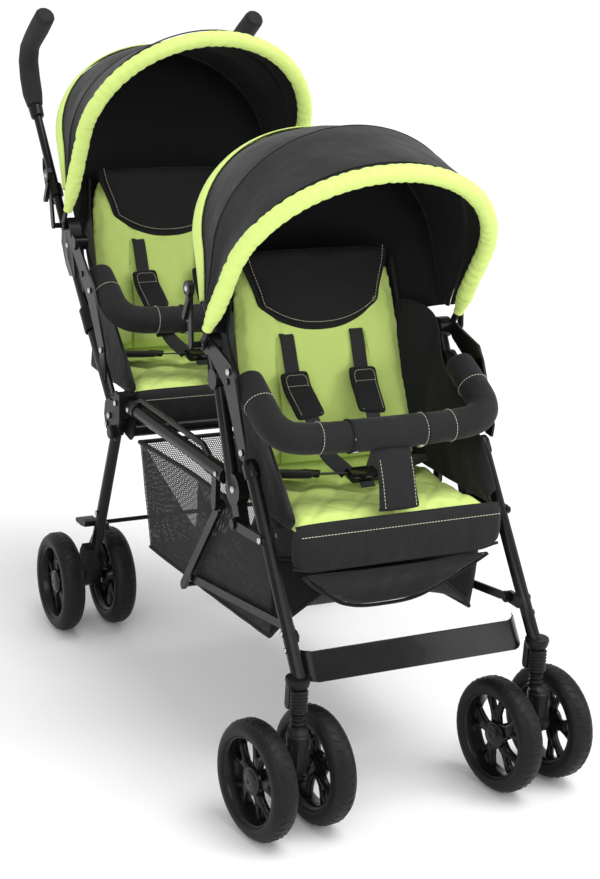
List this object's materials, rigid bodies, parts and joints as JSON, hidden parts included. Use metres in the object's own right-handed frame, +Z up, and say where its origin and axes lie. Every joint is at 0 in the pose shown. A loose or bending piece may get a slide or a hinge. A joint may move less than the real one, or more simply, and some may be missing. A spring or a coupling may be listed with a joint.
{
  "type": "double stroller",
  "caption": "Tandem double stroller: folding tube frame with twin wheels, swivel casters, padded seats with hoods, bumper bars, harnesses, push grips and a net basket.",
  "frame": {"origin": "floor level under the middle of the footprint", "axes": "+Z up, the front of the stroller looks along -Y, +X is its own left"},
  "size_m": [0.5764, 1.315, 1.1009],
  "materials": {
    "powder_black": "black powder coat, soft sheen",
    "plastic_black": "black moulded plastic",
    "rubber_black": "matt black tyre on a black rim",
    "foam_black": "black foam grip",
    "fabric_lime": "lime green woven cloth",
    "fabric_charcoal": "charcoal woven cloth",
    "mesh_black": "black net",
    "webbing_black": "black webbing",
    "spring_steel": "dark spring wire"
  },
  "bodies": {
    "frame": {"side_rail_left": "powder_black", "side_rail_right": "powder_black", "rear_hub_left": "plastic_black", "rear_hub_right": "plastic_black", "front_post_left": "powder_black", "front_post_right": "powder_black", "rear_crossbar": "powder_black", "seat_base_front": "fabric_lime", "harness_front": "webbing_black", "crotch_strap_front": "fabric_charcoal", "hood_aft_front": "fabric_charcoal", "basket": "mesh_black"},
    "push_frame": {"push_tube_left": "powder_black", "push_tube_right": "powder_black", "grip_left": "foam_black", "grip_right": "foam_black", "seat_base_rear": "fabric_lime", "harness_rear": "webbing_black", "crotch_strap_rear": "fabric_charcoal", "hood_aft_rear": "fabric_charcoal"},
    "rear_legs": {"rear_leg_left": "powder_black", "rear_leg_right": "powder_black"},
    "brake": {"brake_bar": "plastic_black"},
    "front_legs": {"front_leg_left": "powder_black", "front_leg_right": "powder_black", "footrest_plate": "powder_black", "suspension_housing_left": "plastic_black", "suspension_housing_right": "plastic_black", "suspension_spring_left": "spring_steel", "suspension_spring_right": "spring_steel"},
    "basket_struts": {"basket_strut_frame": "powder_black"},
    "lower_links": {"lower_link_left": "powder_black", "lower_link_right": "powder_black"},
    "back_front": {"seat_back_front": "fabric_lime", "headrest_front": "fabric_charcoal"},
    "back_rear": {"seat_back_rear": "fabric_lime", "headrest_rear": "fabric_charcoal"},
    "hood_front": {"hood_fore_front": "fabric_charcoal", "hood_roll_front": "fabric_lime"},
    "hood_rear": {"hood_fore_rear": "fabric_charcoal", "hood_roll_rear": "fabric_lime"},
    "bar_front": {"bumper_bar_front": "fabric_charcoal"},
    "bar_rear": {"bumper_bar_rear": "fabric_charcoal"},
    "calf_flap": {"calf_flap": "fabric_charcoal"},
    "release_left": {"release_loop_left": "plastic_black"},
    "latch_left": {"latch_sleeve_left": "plastic_black"},
    "plunger_left": {"suspension_plunger_left": "plastic_black"},
    "caster_left": {"caster_fork_left": "plastic_black"},
    "wheel_front_inner_left": {"wheel_front_inner_left": "rubber_black"},
    "wheel_rear_inner_left": {"wheel_rear_inner_left": "rubber_black"},
    "wheel_front_outer_left": {"wheel_front_outer_left": "rubber_black"},
    "wheel_rear_outer_left": {"wheel_rear_outer_left": "rubber_black"},
    "release_right": {"release_loop_right": "plastic_black"},
    "latch_right": {"latch_sleeve_right": "plastic_black"},
    "plunger_right": {"suspension_plunger_right": "plastic_black"},
    "caster_right": {"caster_fork_right": "plastic_black"},
    "wheel_front_inner_right": {"wheel_front_inner_right": "rubber_black"},
    "wheel_rear_inner_right": {"wheel_rear_inner_right": "rubber_black"},
    "wheel_front_outer_right": {"wheel_front_outer_right": "rubber_black"},
    "wheel_rear_outer_right": {"wheel_rear_outer_right": "rubber_black"}
  },
  "joints": [
    {"name": "frame_fold", "type": "hinge", "parent": "frame", "child": "push_frame", "pos_m": [0, 0.1566, 0.435], "axis": [1, 0, 0], "range_deg": [0, 45], "deforming": ["basket"]},
    {"name": "rear_leg_fold", "type": "hinge", "parent": "frame", "child": "rear_legs", "pos_m": [0, 0.1566, 0.435], "axis": [-1, 0, 0], "range_deg": [0, 56]},
    {"name": "front_leg_fold", "type": "hinge", "parent": "frame", "child": "front_legs", "pos_m": [0, -0.3574, 0.405], "axis": [1, 0, 0], "range_deg": [0, 46]},
    {"name": "basket_strut_fold", "type": "hinge", "parent": "frame", "child": "basket_struts", "pos_m": [0, -0.2604, 0.402], "axis": [1, 0, 0], "range_deg": [0, 53]},
    {"name": "lower_link_turn", "type": "hinge", "parent": "front_legs", "child": "lower_links", "pos_m": [0, -0.5084, 0.29], "axis": [1, 0, 0], "range_deg": [-10, 0]},
    {"name": "recline_front", "type": "hinge", "parent": "frame", "child": "back_front", "pos_m": [0, -0.2584, 0.44], "axis": [-1, 0, 0], "range_deg": [0, 20], "deforming": ["hood_aft_front", "harness_front"]},
    {"name": "recline_rear", "type": "hinge", "parent": "push_frame", "child": "back_rear", "pos_m": [0, 0.3866, 0.475], "axis": [-1, 0, 0], "range_deg": [0, 34], "deforming": ["hood_aft_rear", "harness_rear"]},
    {"name": "hood_front_fold", "type": "hinge", "parent": "frame", "child": "hood_front", "pos_m": [0, -0.2384, 0.655], "axis": [-1, 0, 0], "range_deg": [0, 54]},
    {"name": "hood_rear_fold", "type": "hinge", "parent": "push_frame", "child": "hood_rear", "pos_m": [0, 0.4116, 0.725], "axis": [-1, 0, 0], "range_deg": [0, 42]},
    {"name": "bar_front_lift", "type": "hinge", "parent": "frame", "child": "bar_front", "pos_m": [0, -0.3264, 0.618], "axis": [-1, 0, 0], "range_deg": [0, 50], "deforming": ["crotch_strap_front"]},
    {"name": "bar_rear_lift", "type": "hinge", "parent": "push_frame", "child": "bar_rear", "pos_m": [0, 0.3186, 0.653], "axis": [-1, 0, 0], "range_deg": [0, 50], "deforming": ["crotch_strap_rear"]},
    {"name": "calf_flap_lift", "type": "hinge", "parent": "frame", "child": "calf_flap", "pos_m": [0, -0.4904, 0.364], "axis": [-1, 0, 0], "range_deg": [0, 50]},
    {"name": "brake_press", "type": "hinge", "parent": "rear_legs", "child": "brake", "pos_m": [0, 0.2516, 0.204], "axis": [-1, 0, 0], "range_deg": [0, 18]},
    {"name": "release_left_pull", "type": "slide", "parent": "push_frame", "child": "release_left", "axis": [0.0157, 0.6296, 0.7768], "range_m": [0, 0.015], "stiffness_N_per_m": 300, "springref_m": -0.01},
    {"name": "latch_left_slide", "type": "slide", "parent": "push_frame", "child": "latch_left", "axis": [-0.01, 0.7189, 0.695], "range_m": [0, 0.015]},
    {"name": "suspension_left", "type": "slide", "parent": "front_legs", "child": "plunger_left", "axis": [0, 0, 1], "range_m": [0, 0.007], "stiffness_N_per_m": 16000, "springref_m": -0.006, "deforming": ["suspension_spring_left"]},
    {"name": "caster_left_swivel", "type": "hinge", "parent": "plunger_left", "child": "caster_left", "pos_m": [0.205, -0.5884, 0.145], "axis": [0, 0, 1], "continuous": true},
    {"name": "wheel_front_inner_left_spin", "type": "hinge", "parent": "caster_left", "child": "wheel_front_inner_left", "pos_m": [0.15202, -0.56719, 0.09], "axis": [0.9925, 0.1219, 0], "continuous": true},
    {"name": "wheel_rear_inner_left_spin", "type": "hinge", "parent": "rear_legs", "child": "wheel_rear_inner_left", "pos_m": [0.1693, 0.2756, 0.09], "axis": [1, 0, 0], "continuous": true},
    {"name": "wheel_front_outer_left_spin", "type": "hinge", "parent": "caster_left", "child": "wheel_front_outer_left", "pos_m": [0.25128, -0.55501, 0.09], "axis": [0.9925, 0.1219, 0], "continuous": true},
    {"name": "wheel_rear_outer_left_spin", "type": "hinge", "parent": "rear_legs", "child": "wheel_rear_outer_left", "pos_m": [0.2677, 0.2756, 0.09], "axis": [1, 0, 0], "continuous": true},
    {"name": "release_right_pull", "type": "slide", "parent": "push_frame", "child": "release_right", "axis": [-0.0157, 0.6296, 0.7768], "range_m": [0, 0.015], "stiffness_N_per_m": 300, "springref_m": -0.01},
    {"name": "latch_right_slide", "type": "slide", "parent": "push_frame", "child": "latch_right", "axis": [0.01, 0.7189, 0.695], "range_m": [0, 0.015]},
    {"name": "suspension_right", "type": "slide", "parent": "front_legs", "child": "plunger_right", "axis": [0, 0, 1], "range_m": [0, 0.007], "stiffness_N_per_m": 16000, "springref_m": -0.006, "deforming": ["suspension_spring_right"]},
    {"name": "caster_right_swivel", "type": "hinge", "parent": "plunger_right", "child": "caster_right", "pos_m": [-0.205, -0.5884, 0.145], "axis": [0, 0, 1], "continuous": true},
    {"name": "wheel_front_inner_right_spin", "type": "hinge", "parent": "caster_right", "child": "wheel_front_inner_right", "pos_m": [-0.15872, -0.55501, 0.09], "axis": [0.9925, 0.1219, 0], "continuous": true},
    {"name": "wheel_rear_inner_right_spin", "type": "hinge", "parent": "rear_legs", "child": "wheel_rear_inner_right", "pos_m": [-0.1693, 0.2756, 0.09], "axis": [1, 0, 0], "continuous": true},
    {"name": "wheel_front_outer_right_spin", "type": "hinge", "parent": "caster_right", "child": "wheel_front_outer_right", "pos_m": [-0.25798, -0.56719, 0.09], "axis": [0.9925, 0.1219, 0], "continuous": true},
    {"name": "wheel_rear_outer_right_spin", "type": "hinge", "parent": "rear_legs", "child": "wheel_rear_outer_right", "pos_m": [-0.2677, 0.2756, 0.09], "axis": [1, 0, 0], "continuous": true}
  ],
  "couplings": [
    {"joint": "rear_leg_fold", "follows": "frame_fold", "ratio": 1.2},
    {"joint": "front_leg_fold", "follows": "frame_fold", "ratio": 1},
    {"joint": "basket_strut_fold", "follows": "frame_fold", "ratio": 1.13},
    {"joint": "lower_link_turn", "follows": "frame_fold", "ratio": -0.19},
    {"joint": "latch_left_slide", "follows": "release_left_pull", "ratio": 1},
    {"joint": "latch_right_slide", "follows": "release_right_pull", "ratio": 1}
  ]
}
